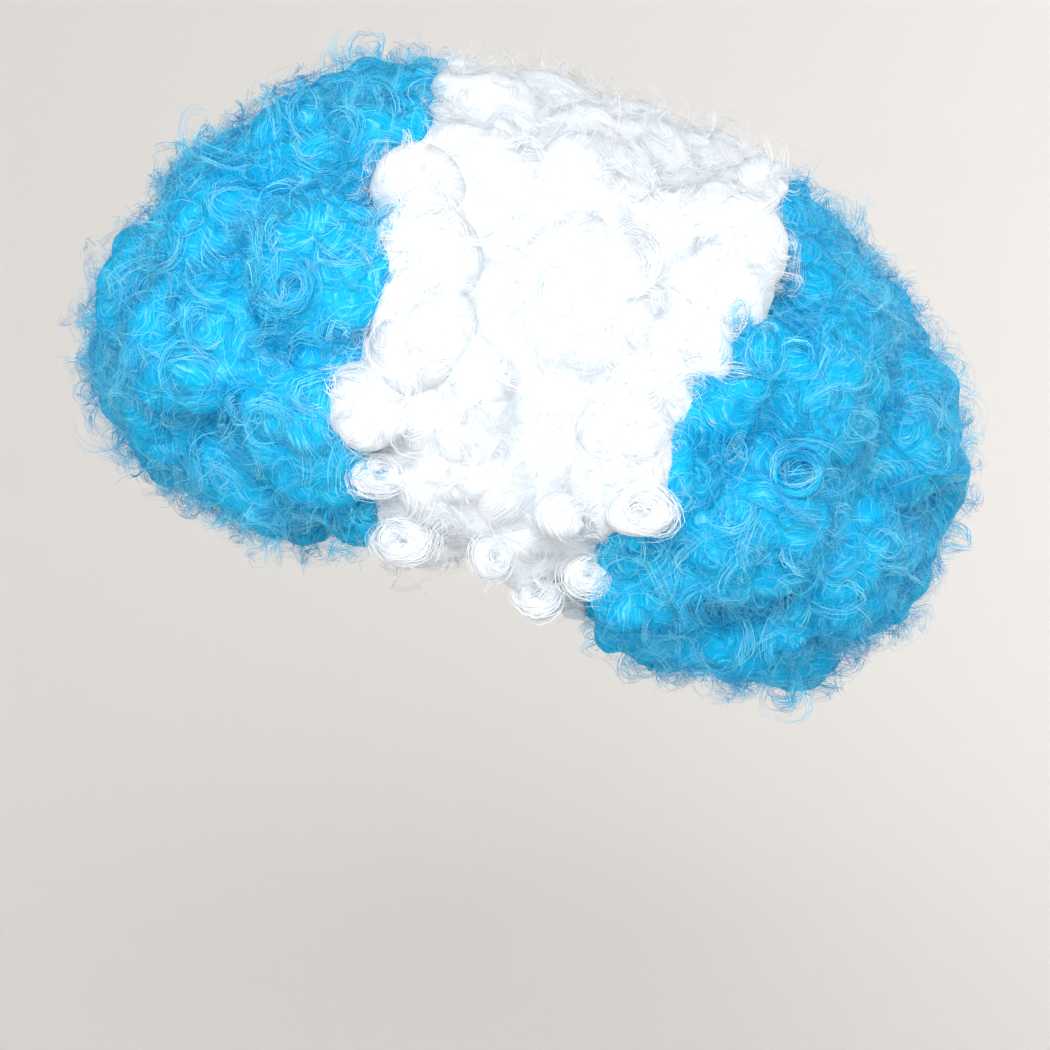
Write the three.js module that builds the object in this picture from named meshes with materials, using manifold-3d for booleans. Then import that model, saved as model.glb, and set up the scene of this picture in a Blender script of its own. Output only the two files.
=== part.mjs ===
// A curly costume wig in three bands of colour, as it stands when it is worn.
// A stretch cap with an elastic edge grips the head and carries the hair. The hair is three thick
// bands that run from ear to ear: blue over the forehead, white over the crown, blue at the back.
// Each band is a deep backing with its curled locks fused on.
// Millimetres, +Z up. The wearer looks along -Y, and the wearer's left ear is on +X.
// The origin is the middle of the head opening, in the plane of the elastic's lower edge.

import * as THREE from "three";
import { mergeVertices } from "three/addons/utils/BufferGeometryUtils.js";
import loadManifold from "manifold-3d";

const manifold = await loadManifold();
manifold.setup();

// Driving dimensions
const HEAD = { halfWidth: 77, halfLength: 98, halfHeight: 92 }; // the head that the cap is stretched over
const OPENING_TILT = THREE.MathUtils.degToRad(21.6); // the opening rises from the nape to the forehead
const HEAD_ABOVE_OPENING = 16.2; // from the opening's plane to the middle of the head
const CAP_WALL = 2; // stretch net, doubled where the rows of hair are sewn on
const ELASTIC_HEIGHT = 14;
const GAP = 0.4; // between any two pieces

const HAIR_CENTRE = new THREE.Vector3(0, 21, 33);
const HAIR_HALF_WIDTH = 148;
const HAIR_SQUARENESS = 2.4; // 2 gives elliptical cross-sections, more gives fuller ones

// The hair's outline from the side: how far it reaches from HAIR_CENTRE.
// Degrees count from straight back (0) over the top (90) to straight forward (180).
const SIDE_OUTLINE = [
  { degrees: 0, reach: 162 },
  { degrees: 20, reach: 138 },
  { degrees: 40, reach: 127 },
  { degrees: 60, reach: 110 },
  { degrees: 80, reach: 108 },
  { degrees: 100, reach: 120 },
  { degrees: 120, reach: 132 },
  { degrees: 140, reach: 146 },
  { degrees: 160, reach: 162 },
  { degrees: 180, reach: 167 },
  { degrees: 200, reach: 132 },
  { degrees: 220, reach: 100 },
  { degrees: 240, reach: 87 },
  { degrees: 260, reach: 85 },
  { degrees: 280, reach: 90 },
  { degrees: 300, reach: 131 },
  { degrees: 320, reach: 166 },
  { degrees: 340, reach: 175 },
];

// The two seams where the colour changes, followed down the wig's side from the top to below the ear.
const FRONT_SEAM = [
  { up: 180, back: -9 },
  { up: 111, back: -15 },
  { up: 57, back: -30 },
  { up: 20, back: -45 },
  { up: -2, back: -33 },
  { up: -110, back: -29 },
];
const BACK_SEAM = [
  { up: 150, back: 146 },
  { up: 100, back: 120 },
  { up: 51, back: 95 },
  { up: 7, back: 74 },
  { up: -17, back: 75 },
  { up: -33, back: 48 },
  { up: -110, back: 44 },
];
const WHITE_INSET = 12; // from a seam to the nearest lock that stays white where it hangs over the seam

// One curled lock, seen as the bun that its outer turns make
const LOCK = { spacing: 37.5, radius: 24, fill: 0.55, lean: 0.4, sides: 7 };
// The lock's outline in shares of its radius, from its root in the backing to the eye of the curl.
const LOCK_PROFILE = [
  { across: 0, along: -0.6 },
  { across: 1, along: -0.1 },
  { across: 0.93, along: 0.32 },
  { across: 0.52, along: 0.62 },
  { across: 0, along: 0.34 },
];
const LOCK_RISE = LOCK.radius * 0.6; // how far a lock stands out of the backing
const SITE_CANDIDATES = 2600; // directions that are tried for a lock
const NEIGHBOURS = 5; // the nearest locks, whose distance sets how wide a lock is

const COLOURS = { blue: 0x23b0ee, white: 0xf7f9fb, net: 0xe9eaec, elastic: 0xf4f4f2 };
const FAR = 900; // larger than the wig, for the blocks that cut it
const HEAD_DETAIL = 4; // subdivisions of the head's ellipsoid
const BACKING_DETAIL = 4; // subdivisions of the backing under the locks

// The head's place follows from the opening: the opening's section is centred on the origin.
const tiltSin = Math.sin(OPENING_TILT);
const tiltCos = Math.cos(OPENING_TILT);
const headReach = Math.hypot(HEAD.halfLength * tiltSin, HEAD.halfHeight * tiltCos);
const headShift = HEAD_ABOVE_OPENING / headReach ** 2;
const HEAD_CENTRE = new THREE.Vector3(
  0,
  headShift * HEAD.halfLength ** 2 * tiltSin,
  headShift * HEAD.halfHeight ** 2 * tiltCos,
);
const sectionShare = Math.sqrt(1 - (HEAD_ABOVE_OPENING / headReach) ** 2);
const OPENING = {
  halfWidth: HEAD.halfWidth * sectionShare,
  halfLength: ((HEAD.halfLength * HEAD.halfHeight) / headReach) * sectionShare * tiltCos,
};

// Repeatable scatter between 0 and 1 for the lock of that number
function scatter(number, salt) {
  const value = Math.sin(number * 12.9898 + salt * 78.233) * 43758.5453;
  return value - Math.floor(value);
}

// Geometry to solid and back

function solidOf(geometry) {
  const bare = geometry.clone();
  bare.deleteAttribute("normal");
  bare.deleteAttribute("uv");
  const merged = mergeVertices(bare, 1e-3);
  return new manifold.Manifold(
    new manifold.Mesh({
      numProp: 3,
      vertProperties: new Float32Array(merged.attributes.position.array),
      triVerts: new Uint32Array(merged.index.array),
    }),
  );
}

function largestBody(solid) {
  return solid.decompose().reduce((a, b) => (b.volume() > a.volume() ? b : a));
}

function meshOf(solid, name, colour, roughness) {
  const { vertProperties, triVerts } = largestBody(solid).getMesh();
  const geometry = new THREE.BufferGeometry();
  geometry.setAttribute("position", new THREE.BufferAttribute(vertProperties, 3));
  geometry.setIndex(new THREE.BufferAttribute(triVerts, 1));
  geometry.computeVertexNormals();
  const material = new THREE.MeshStandardMaterial({ color: colour, roughness, metalness: 0 });
  const mesh = new THREE.Mesh(geometry, material);
  mesh.name = name;
  return mesh;
}

const join = (solids) => solids.reduce((all, one) => all.add(one));

// Cutting blocks

// Everything on the upper side of a plane across the wig, which leans by tilt about X and stands
// offset above the point (back, up).
function blockAbove(tilt, offset, back = 0, up = 0) {
  const block = new THREE.BoxGeometry(FAR, FAR, FAR);
  block.translate(0, 0, FAR / 2 + offset);
  block.rotateX(-tilt);
  block.translate(0, back, up);
  return solidOf(block);
}

// Everything behind a colour seam, which is moved back by shift.
function blockBehind(seam, shift) {
  const outline = seam.map(({ up, back }) => new THREE.Vector2(back + shift, up));
  outline.push(new THREE.Vector2(FAR, -FAR), new THREE.Vector2(FAR, FAR));
  const block = new THREE.ExtrudeGeometry(new THREE.Shape(outline), {
    depth: FAR,
    bevelEnabled: false,
  });
  block.translate(0, 0, -FAR / 2);
  const [x, y, z] = [0, 1, 2].map((axis) => new THREE.Vector3().setComponent(axis, 1));
  block.applyMatrix4(new THREE.Matrix4().makeBasis(y, z, x));
  return solidOf(block);
}

// Cap and elastic

function headGrownBy(margin) {
  const ball = new THREE.IcosahedronGeometry(1, HEAD_DETAIL);
  ball.scale(HEAD.halfWidth + margin, HEAD.halfLength + margin, HEAD.halfHeight + margin);
  ball.translate(HEAD_CENTRE.x, HEAD_CENTRE.y, HEAD_CENTRE.z);
  return solidOf(ball);
}

const headSkin = headGrownBy(CAP_WALL).subtract(headGrownBy(0));

function capNet() {
  return headSkin.intersect(blockAbove(OPENING_TILT, ELASTIC_HEIGHT + GAP));
}

function rimElastic() {
  const above = headSkin.intersect(blockAbove(OPENING_TILT, 0));
  return above.subtract(blockAbove(OPENING_TILT, ELASTIC_HEIGHT));
}

// The room that the hair leaves free: the covered head, and the way down for the face and neck.
function headRoom() {
  const margin = CAP_WALL + GAP;
  const way = new THREE.CylinderGeometry(1, 1, FAR, 40);
  way.rotateX(Math.PI / 2);
  way.scale(OPENING.halfWidth + margin, OPENING.halfLength + margin, 1);
  const below = solidOf(way).subtract(blockAbove(OPENING_TILT, 1));
  return headGrownBy(margin).intersect(blockAbove(OPENING_TILT, 0)).add(below);
}

// Hair form

function sideReach(degrees) {
  const count = SIDE_OUTLINE.length;
  const place = (((degrees + 360) % 360) / 360) * count;
  const first = Math.floor(place) % count;
  const t = place - Math.floor(place);
  const [a, b, c, d] = [-1, 0, 1, 2].map((k) => SIDE_OUTLINE[(first + k + count) % count].reach);
  return b + 0.5 * t * (c - a + t * (2 * a - 5 * b + 4 * c - d + t * (3 * (b - c) + d - a)));
}

// How far the hair reaches from its centre along a direction
function hairReach(direction) {
  const degrees = THREE.MathUtils.radToDeg(Math.atan2(direction.z, direction.y));
  const side = Math.hypot(direction.y, direction.z) / sideReach(degrees);
  const across = Math.abs(direction.x) / HAIR_HALF_WIDTH;
  return (side ** HAIR_SQUARENESS + across ** HAIR_SQUARENESS) ** (-1 / HAIR_SQUARENESS);
}

function hairPoint(direction, depth) {
  return direction.clone().multiplyScalar(hairReach(direction) - depth).add(HAIR_CENTRE);
}

function hairNormal(direction) {
  const aside = new THREE.Vector3(0, direction.z, -direction.y);
  if (aside.lengthSq() < 1e-6) aside.set(0, 1, 0);
  const step = 0.02;
  const u = aside.normalize().multiplyScalar(step);
  const v = new THREE.Vector3().crossVectors(direction, u);
  const slope = (w) =>
    hairPoint(direction.clone().add(w).normalize(), 0).sub(
      hairPoint(direction.clone().sub(w).normalize(), 0),
    );
  const normal = new THREE.Vector3().crossVectors(slope(u), slope(v)).normalize();
  return normal.dot(direction) < 0 ? normal.negate() : normal;
}

function hairBacking(grow) {
  const ball = new THREE.IcosahedronGeometry(1, BACKING_DETAIL);
  const place = ball.attributes.position;
  const direction = new THREE.Vector3();
  for (let i = 0; i < place.count; i++) {
    direction.fromBufferAttribute(place, i).normalize();
    const point = hairPoint(direction, LOCK_RISE - grow);
    place.setXYZ(i, point.x, point.y, point.z);
  }
  return solidOf(ball);
}

// Locks

// Directions spread evenly over a ball, along a golden-angle spiral.
function spiralDirection(index, count) {
  const up = 1 - (2 * index + 1) / count;
  const turn = index * Math.PI * (3 - Math.sqrt(5));
  const flat = Math.sqrt(1 - up * up);
  return new THREE.Vector3(flat * Math.cos(turn), flat * Math.sin(turn), up);
}

function inHeadWay(point) {
  const across = point.x / OPENING.halfWidth;
  const along = point.y / OPENING.halfLength;
  return point.z < HEAD_CENTRE.z && Math.hypot(across, along) < 1;
}

function seamBack(seam, up) {
  const below = Math.max(1, seam.findIndex((row) => row.up < up));
  const [high, low] = [seam[below - 1], seam[below]];
  const share = (up - low.up) / (high.up - low.up);
  return low.back + share * (high.back - low.back);
}

// Whether a lock that is seated at point is white all over
function isWhite(point) {
  const behindFront = point.y - seamBack(FRONT_SEAM, point.z);
  const beforeBack = seamBack(BACK_SEAM, point.z) - point.y;
  return Math.min(behindFront, beforeBack) > WHITE_INSET;
}

// Each lock is seated in the widest bare place that is left, until none is one spacing wide.
function lockSites() {
  const bare = [];
  for (let i = 0; i < SITE_CANDIDATES; i++) {
    const direction = spiralDirection(i, SITE_CANDIDATES);
    const seat = hairPoint(direction, LOCK_RISE);
    if (!inHeadWay(seat)) bare.push({ seat, direction, room: Infinity });
  }
  const sites = [];
  let widest = bare[0];
  while (widest.room > LOCK.spacing) {
    const { seat, direction } = widest;
    sites.push({ number: sites.length, seat, normal: hairNormal(direction), white: isWhite(seat) });
    for (const place of bare) place.room = Math.min(place.room, place.seat.distanceTo(seat));
    widest = bare.reduce((a, b) => (b.room > a.room ? b : a));
  }
  return sites;
}

function lockRadius(site) {
  const away = sites.map((other) => other.seat.distanceTo(site.seat)).sort((a, b) => a - b);
  const near = away.slice(1, NEIGHBOURS + 1);
  return (LOCK.fill * near.reduce((sum, one) => sum + one)) / NEIGHBOURS;
}

function lock(site, grow) {
  const radius = lockRadius(site) + grow;
  const outline = LOCK_PROFILE.map(
    ({ across, along }) => new THREE.Vector2(across * radius, along * radius),
  );
  const bun = new THREE.LatheGeometry(outline, LOCK.sides);
  const { number } = site;
  const lean = new THREE.Vector3(scatter(number, 1), scatter(number, 2), scatter(number, 3));
  const axis = lean.subScalar(0.5).multiplyScalar(2 * LOCK.lean).add(site.normal).normalize();
  bun.rotateY(2 * Math.PI * scatter(number, 4));
  bun.applyQuaternion(
    new THREE.Quaternion().setFromUnitVectors(new THREE.Vector3(0, 1, 0), axis),
  );
  bun.translate(site.seat.x, site.seat.y, site.seat.z);
  return solidOf(bun);
}

// Bands of hair

const sites = lockSites();
const room = headRoom();

const locksAt = (chosen, grow) => join(chosen.map((site) => lock(site, grow)));

const allHair = (grow) => hairBacking(grow).add(locksAt(sites, grow));

// The white band ends at the seams, except that its own locks hang over the blue ones. With grow it
// is the space that the blue bands leave for it.
function crownHair(grow) {
  const behindFront = allHair(grow).intersect(blockBehind(FRONT_SEAM, -grow));
  const between = behindFront.subtract(blockBehind(BACK_SEAM, grow));
  return between.add(locksAt(sites.filter((site) => site.white), grow));
}

const crownSpace = crownHair(GAP);
const hairCrown = crownHair(0).subtract(room);
const hairFront = allHair(0).subtract(blockBehind(FRONT_SEAM, 0)).subtract(crownSpace).subtract(room);
const hairBack = allHair(0).intersect(blockBehind(BACK_SEAM, 0)).subtract(crownSpace).subtract(room);

// Assembly

const wig = new THREE.Group();
wig.name = "afro_wig";
wig.add(
  meshOf(capNet(), "cap_net", COLOURS.net, 0.9),
  meshOf(rimElastic(), "rim_elastic", COLOURS.elastic, 0.8),
  meshOf(hairFront, "hair_front", COLOURS.blue, 0.6),
  meshOf(hairCrown, "hair_crown", COLOURS.white, 0.6),
  meshOf(hairBack, "hair_back", COLOURS.blue, 0.6),
);

export default wig;
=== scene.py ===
"""Curly costume wig: the looks of its hair, cap and elastic edge, and a plain studio round it."""

import functools
import math

import bpy
import numpy as np
from bpy.props import FloatProperty, FloatVectorProperty, IntProperty, PointerProperty
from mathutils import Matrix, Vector
from mathutils.bvhtree import BVHTree
from mathutils.kdtree import KDTree


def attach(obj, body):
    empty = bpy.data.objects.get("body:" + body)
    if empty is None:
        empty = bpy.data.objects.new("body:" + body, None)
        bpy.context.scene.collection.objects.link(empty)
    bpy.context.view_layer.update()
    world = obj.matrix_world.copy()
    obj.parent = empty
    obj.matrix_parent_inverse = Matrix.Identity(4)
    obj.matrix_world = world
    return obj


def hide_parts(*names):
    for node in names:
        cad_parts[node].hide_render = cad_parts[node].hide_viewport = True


bl_info = {
    "name": "Curly Wig",
    "version": (1, 0, 0),
    "blender": (4, 5, 0),
    "location": "3D View > Sidebar > Curly Wig",
    "description": "Dresses a curly wig in three bands of colour and lights it",
    "category": "Object",
}

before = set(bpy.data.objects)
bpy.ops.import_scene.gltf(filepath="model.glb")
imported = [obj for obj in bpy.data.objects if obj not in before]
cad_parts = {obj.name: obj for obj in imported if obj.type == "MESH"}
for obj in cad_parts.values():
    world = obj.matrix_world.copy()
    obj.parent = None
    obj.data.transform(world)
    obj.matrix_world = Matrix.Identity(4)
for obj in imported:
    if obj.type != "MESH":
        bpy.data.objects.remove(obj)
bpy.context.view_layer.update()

BANDS = ("front", "crown", "back")
BAND_SLOT = {"front": "hair_blue", "crown": "hair_white", "back": "hair_blue"}

# The cap's outer side, an ellipsoid, and the upright way into it, an ellipse in plan, as the part has
# them, in metres
CAP_CENTRE = np.array([0.0, 0.0067, 0.0149])
CAP_HALF = np.array([0.079, 0.100, 0.094])
WAY_HALF = np.array([0.0782, 0.0916])
OPENING_NORMAL = np.array([0.0, 0.368, 0.930])
WAY_CLEAR = 1.01  # how far out hair is kept beside the way, as a share of the way's half
OUTER_LEAN = 0.25  # least cosine between a normal and the way out, on an outer side
WALL_DROP = 0.012  # from the opening's plane down to where curls on the wall round the way start

# Curls that stand out on the wig's left side, and likewise on the right: how far back and up the camera
# sees the middle of the curl against the wig's middle plane, its radius in millimetres, and half the
# width of its ring of hair as a share of the radius. LOBE stands for a low closed mound of hair, with
# ringlets of its own.
LOBE = 1.0
SIDE_CURLS = (
    {"band": "crown", "back": -36, "up": -6, "radius": 9, "thick": 0.46},
    {"band": "crown", "back": -25, "up": -32, "radius": 10, "thick": 0.50},
    {"band": "crown", "back": 8, "up": -38, "radius": 8, "thick": 0.46},
    {"band": "crown", "back": 27, "up": -54, "radius": 8, "thick": 0.44},
    {"band": "crown", "back": 46, "up": -45, "radius": 8, "thick": 0.46},
    {"band": "crown", "back": 66, "up": -20, "radius": 11, "thick": 0.43},
    {"band": "crown", "back": 61, "up": 10, "radius": 17, "thick": LOBE},
    {"band": "crown", "back": 38, "up": -22, "radius": 11, "thick": 0.55},
    {"band": "crown", "back": -38, "up": 22, "radius": 17, "thick": LOBE},
    {"band": "crown", "back": -18, "up": 48, "radius": 21, "thick": LOBE},
    {"band": "crown", "back": -17, "up": 78, "radius": 20, "thick": LOBE},
    {"band": "crown", "back": -20, "up": 104, "radius": 18, "thick": LOBE},
    {"band": "crown", "back": 105, "up": 83, "radius": 17, "thick": LOBE},
    {"band": "crown", "back": 95, "up": 63, "radius": 20, "thick": LOBE},
    {"band": "crown", "back": 85, "up": 44, "radius": 17, "thick": LOBE},
    {"band": "crown", "back": 73, "up": 26, "radius": 18, "thick": LOBE},
    {"band": "front", "back": -68, "up": 66, "radius": 8, "thick": 0.10},
    {"band": "back", "back": 126, "up": -6, "radius": 9, "thick": 0.14},
)
MM_PER_M = 1000
SIDE_RAYS = 12  # rays from the camera that look for the hair round such a curl
RAY_CIRCLE = 0.8  # how far from its middle they pass, as a share of its radius
RAY_RANK = 0.75  # which of their hits it goes by, from 0 for the deepest to 1 for the outermost
MOST_SUNK = 0.76  # how far its middle lies below that hit at most, as a share of its radius
SIDE_CLEAR = 1.1  # how far other ringlets keep off its middle, as a share of its radius
SIDE_LEAN = 0.3  # how far its axis strays from the way to the side
SIDE_HEIGHT = 0.15  # height of the dome under it, as a share of its radius
SIDE_OVAL = (-0.05, 0.2)

LOBE_HEIGHT = 0.7  # height of a lobe above its middle, as a share of its radius
LOBE_POINTS = (32, 14)  # points round a lobe, and from its foot to its top
LOBE_END = 1.56  # where the first and last of those are, just short of a quarter turn
LOBE_TRIES = 160  # places tried for ringlets on a lobe
LOBE_CURLS = 60  # loose curls on a lobe
LOBE_CURL_SEAT = 0.85  # how far out those are, as a share of the lobe's radius
LOBE_CURL_SIZE = 0.5  # their size beside that of other loose curls

RING_POINTS = (24, 10)  # points round a ring, and round its section
RING_SWELLS = {2: 0.15, 3: 0.1}  # how often a ring swells on its way round, and how far
RING_PHASE = 900  # radians a metre, so that no two rings swell at the same places
HALF_GIRTH = 3  # half the girth of a ring's section beside half its width, roughly
FLOOR_FROM = 0.3  # least thickness of a ring whose middle is closed by packed hair
FLOOR_DEPTH = 0.4  # how deep that hair lies, as a share of the ring's radius
FLOOR_RADIUS = 0.85  # how wide it is, as a share of the same

RINGLET_TRIES = 6000  # places tried for ringlets on a band
RINGLET_RADIUS = (0.75, 1.25)  # from the least to the most, as a share of the middle one
RINGLET_HEIGHT = (0.6, 1.4)  # the same for the domes under them
RINGLET_OVAL = (-0.25, 0.25)
SEAM_RADIUS = 0.7  # size of a ringlet at a seam beside that of others
SEAM_PRESS = 0.002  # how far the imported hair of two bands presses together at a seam
SEAM_SAMPLE = 4  # one in so many of a band's triangles is enough to find its seams by
NEAREST_DOMES = 4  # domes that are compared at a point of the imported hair
STREAK_MIDDLE = 1.6  # how far beside a ringlet's eye its streaks are centred

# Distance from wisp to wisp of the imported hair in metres, drawn coarser than the fibre so that it shows
WISP_SPACING = 0.0008

# What sets the blue hair and the white apart: how far ringlets lean, how high their domes are against
# their radius, how far wisps lean out of them, how far wisps differ in tone, and how far the streaks of
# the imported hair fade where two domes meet
HABITS = {
    "hair_blue": {"lean": 0.34, "rise": 0.3, "wild": 0.28, "tone": 0.1, "fade": 0.2},
    "hair_white": {"lean": 0.3, "rise": 0.24, "wild": 0.22, "tone": 0.15, "fade": 0.55},
}

# The strands of a ringlet or ring, which run in wisps. Lengths are in metres and angles in radians.
WISP = {
    "points": 6,  # along a strand
    "ring_wisps": 10,  # round a ring, with more for its thickness
    "thick_wisps": 20,
    "ring_wild": 0.17,  # how far wisps lean out of a ring
    "most": 1.4,  # most that a wisp leans or lies away, in standard deviations
    "bow": (-0.2, 2.6),  # where round a ring's section
    "proud": 1.05,  # how far out from the middle of that section, as a share of it
    "spread": (0.005, 1.25),  # square of the distance from a ringlet's eye, as a share of its radius
    "fluff": 0.006,  # how high the loosest wisp lies above a dome
    "ring_fluff": 0.004,  # and above a ring
    "turns": (0.28, 0.52),
    "taper": (-0.2, 0.3),
    "ring_taper": 0.3,  # how much of that is left on a ring
    "rise": (-0.002, 0.004),
    "ring_loose": 0.09,  # how far a wisp lies away, as a share of the radius
    "loose": 0.6,  # and on a ringlet, for how wild it is
    "wander": 0.0012,
    "tone": 0.45,
    # The loosest wisps lie highest and are set paler: painted light
    "fluff_painted_light": 0.15,  # how much paler the loosest are
    "strand_place": 0.0009,  # how far strands of one wisp differ
    "strand_radius": 0.07,
    "strand_phase": 0.25,
    "strand_taper": 0.08,
    "strand_tilt": 0.2,
    "strand_tone": 0.07,
    "tilt": 0.5,  # how far a strand's ribbon turns out from the axis at the radius
    "most_tilt": 0.6,
    "width": 1.15,  # of the drawn width
    "fluff_width": 0.5,  # how much narrower the loosest are
    "strand_width": (0.75, 1.3),
}

# Loose curls between the ringlets, and single strands that stand off the outline
TANGLE = {
    "points": 8,
    "oval": (-0.3, 0.3),
    "turns": (0.4, 0.8),
    "both_ways": True,
    "rise": (0.0, 0.010),
    "taper": (-0.3, 0.4),
    "wander": 0.0009,
    "width": (0.5, 0.85),
    "tone": (0.58, 0.15),
    "skin_shade": 1.0,
}
STRAYS = {
    "points": 6,
    "oval": (-0.3, 0.3),
    "turns": (0.3, 0.8),
    "both_ways": False,
    "rise": (-0.008, 0.008),
    "taper": (-0.4, 0.4),
    "wander": 0.0012,
    "width": (0.32, 0.5),
    # Single strands are set paler than the rest: painted light, as thin fibres lit through at the outline
    "tone": (0.75, 0.15),
    "skin_shade": 0.3,
}
TANGLE_TRIES = 6  # places tried for each loose curl, so that enough of them are at seams
TANGLE_SPARSE = 5  # one in so many places away from a seam has a loose curl
TANGLE_RADIUS = (0.3, 1.15)  # as a share of a ringlet's middle radius
TANGLE_LIFT = 0.004  # most that a loose curl lies above the skin
TANGLE_LEAN = 0.5  # how far its axis is drawn to the way out
WALL_SHARE = 6  # one loose curl on the wall round the way for so many on the outer side
WALL_DEPTH = 0.004  # how far those lie behind the wall's surface
STRAY_THINNING = 0.03  # how far below the outline single strands start, as a share of the hair's depth
STRAY_RADIUS = (0.002, 0.006)  # the least, and what is added at most
STRAY_SUNK = (0.1, 0.9)  # how far a stray's axis lies under the skin, as a share of its radius

SKIN_SPREAD = 0.0012  # how far places on the skin are spread about the middle of a triangle
WAVE_TURN = 6.28  # what the phase of a strand's waves is drawn from
RIBBON_SLANT = (0.35, 1.2)  # how far a loose strand's ribbon turns from its axis to the way out
RIBBON_ENDS = (0.1, 0.92)  # where a ribbon's root and tip cut the half wave that its width follows
SKIN_SHADE = 0.7  # how much of a strand's shading comes from the mass that it lies in
FACE_SHADE = 0.8  # how much comes from the way that it faces
CELL_MARGIN = 0.1  # what is left free round a strand in its cell of the map

# Where the random draws of each operator start
RINGLET_SEED = 11
CURL_SEED = 21
TANGLE_SEED = 31
STRAY_SEED = 51

# The studio, in metres: the paper's flat middle, its bend and its top, and the lamps
PAPER_FLAT = 0.5
PAPER_BEND = 2.6
PAPER_TOP = 3.4
PAPER_STEPS = 24
PAPER_SIDES = 96
LAMPS = {
    "key": {"place": (1.8, 0.02, 0.55), "aim": (0, 0.02, 0.0), "size": 0.65},
    "fill": {"place": (1.2, -1.0, 0.42), "aim": (0, 0.02, 0.03), "size": 0.7},
    "backdrop": {"place": (-0.6, 2.0, 1.0), "aim": (-2.6, 1.2, 0.5), "size": 1.0},
}
ROOM_COLOUR = "#FBFBFF"


def linear(hex_colour):
    """An sRGB hex value as linear RGBA."""
    parts = [int(hex_colour[i : i + 2], 16) / 255 for i in (1, 3, 5)]
    bent = [c / 12.92 if c <= 0.04045 else ((c + 0.055) / 1.055) ** 2.4 for c in parts]
    return (*bent, 1.0)


def length(name, description, default):
    """A size in metres."""
    return FloatProperty(name=name, description=description, default=default, unit="LENGTH", precision=5)


def colour(name, description, default):
    """A colour that starts from an sRGB hex value."""
    return FloatVectorProperty(
        name=name, description=description, default=linear(default), subtype="COLOR", size=4, min=0, max=1
    )


def number(name, description, default):
    """How many there are of something."""
    return IntProperty(name=name, description=description, default=default)


def power(name, description, default):
    """Power of a lamp in watts."""
    return FloatProperty(name=name, description=description, default=default, unit="POWER")


class HairSizes(bpy.types.PropertyGroup):
    """Sizes of the curled hair."""

    thinning: FloatProperty(
        name="Thinning",
        description="Share of the hair's depth that is loose curls above the packed hair",
        default=0.09,
        subtype="FACTOR",
    )
    ringlet_spacing: length("Ringlet spacing", "Least distance between two ringlets", 0.0119)
    ringlet_radius: length("Ringlet radius", "Middle radius of a ringlet", 0.009)
    blue_wisps: number("Blue wisps", "Wisps drawn round one blue ringlet", 9)
    white_wisps: number("White wisps", "Wisps drawn round one white ringlet", 6)
    wisp_strands: number("Wisp strands", "Strands that run together in a wisp", 6)
    tangle_strands: number("Tangle strands", "Loose curled strands in one band", 2400)
    stray_strands: number("Stray strands", "Single strands that stand off one band", 3400)
    strand_width: length("Strand width", "Width of a drawn strand, which is a few fibres", 0.00019)


class HairColours(bpy.types.PropertyGroup):
    """Colours of the two dyed fibres, each as a shaded, a plain and a lit copy: painted shade, the
    fibre's own colour and painted highlight.
    """

    # Deep is painted shade and lit is painted highlight: shaded and lit copies of the blue fibre's colour
    blue_deep: colour("Blue, deep", "Blue hair in the depth of a curl", "#009EDC")
    blue: colour("Blue", "Most of the blue hair", "#00BCEE")
    blue_lit: colour("Blue, faded", "Palest strands of the blue hair", "#8CE2F8")
    # Deep is painted shade and lit is painted highlight: shaded and lit copies of the white fibre's
    # colour
    white_deep: colour("White, deep", "White hair in the depth of a curl", "#DDE6EE")
    white: colour("White", "Most of the white hair", "#ECF2F8")
    white_lit: colour("White, bright", "Brightest strands of the white hair", "#FCFEFF")


class CapLook(bpy.types.PropertyGroup):
    """Colours and thread sizes of the cap."""

    net: colour("Net", "Stretch net of the cap", "#E4E6E8")
    net_shade: colour("Net, open", "Between the threads of the net", "#B9BEC3")
    net_cell: length("Net cell", "Width of one cell of the net", 0.0028)
    elastic: colour("Elastic", "Woven elastic edge", "#F1F1EE")
    elastic_shade: colour("Elastic, grooves", "Between the ribs of the elastic", "#CBCCCB")
    elastic_rib: length("Elastic rib", "Distance between two ribs of the elastic", 0.0016)


class StageLook(bpy.types.PropertyGroup):
    """The studio round the wig."""

    paper: colour("Paper", "Seamless paper of floor and backdrop", "#E7E5E2")
    floor_drop: length("Floor drop", "From the cap's opening down to the floor", 0.32)
    camera_distance: length("Camera distance", "From the camera to the wig's middle", 1.55)
    frame_width: length("Frame width", "What the picture spans at the wig's middle", 0.4043)
    aim_back: length("Aim, back", "How far behind the origin the camera aims", 0.0212)
    aim_up: length("Aim, up", "How far above the origin the camera aims", -0.0254)
    key_power: power("Key", "Power of the lamp above the camera", 25.8)
    fill_power: power("Fill", "Power of the lamp towards the front", 3.2)
    backdrop_power: power("Backdrop", "Power of the lamp on the paper behind the wig", 47.0)
    sky: FloatProperty(name="Room light", description="Strength of the even room light", default=0.37)


# Materials


def add(tree, kind, inputs=None, **settings):
    """Adds a node to tree. inputs maps its sockets to values, or to the outputs that feed them."""
    made = tree.nodes.new(kind)
    for name, value in settings.items():
        setattr(made, name, value)
    for name, value in (inputs or {}).items():
        if isinstance(value, bpy.types.NodeSocket):
            tree.links.new(value, made.inputs[name])
        else:
            made.inputs[name].default_value = value
    return made


def blank_material(name):
    """A material with no nodes yet, and its tree."""
    made = bpy.data.materials.new(name)
    made.use_nodes = True
    made.node_tree.nodes.clear()
    return made, made.node_tree


def finish_material(tree, surface):
    """Sends a shader to the material's surface."""
    add(tree, "ShaderNodeOutputMaterial", {"Surface": surface.outputs[0]})


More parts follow.
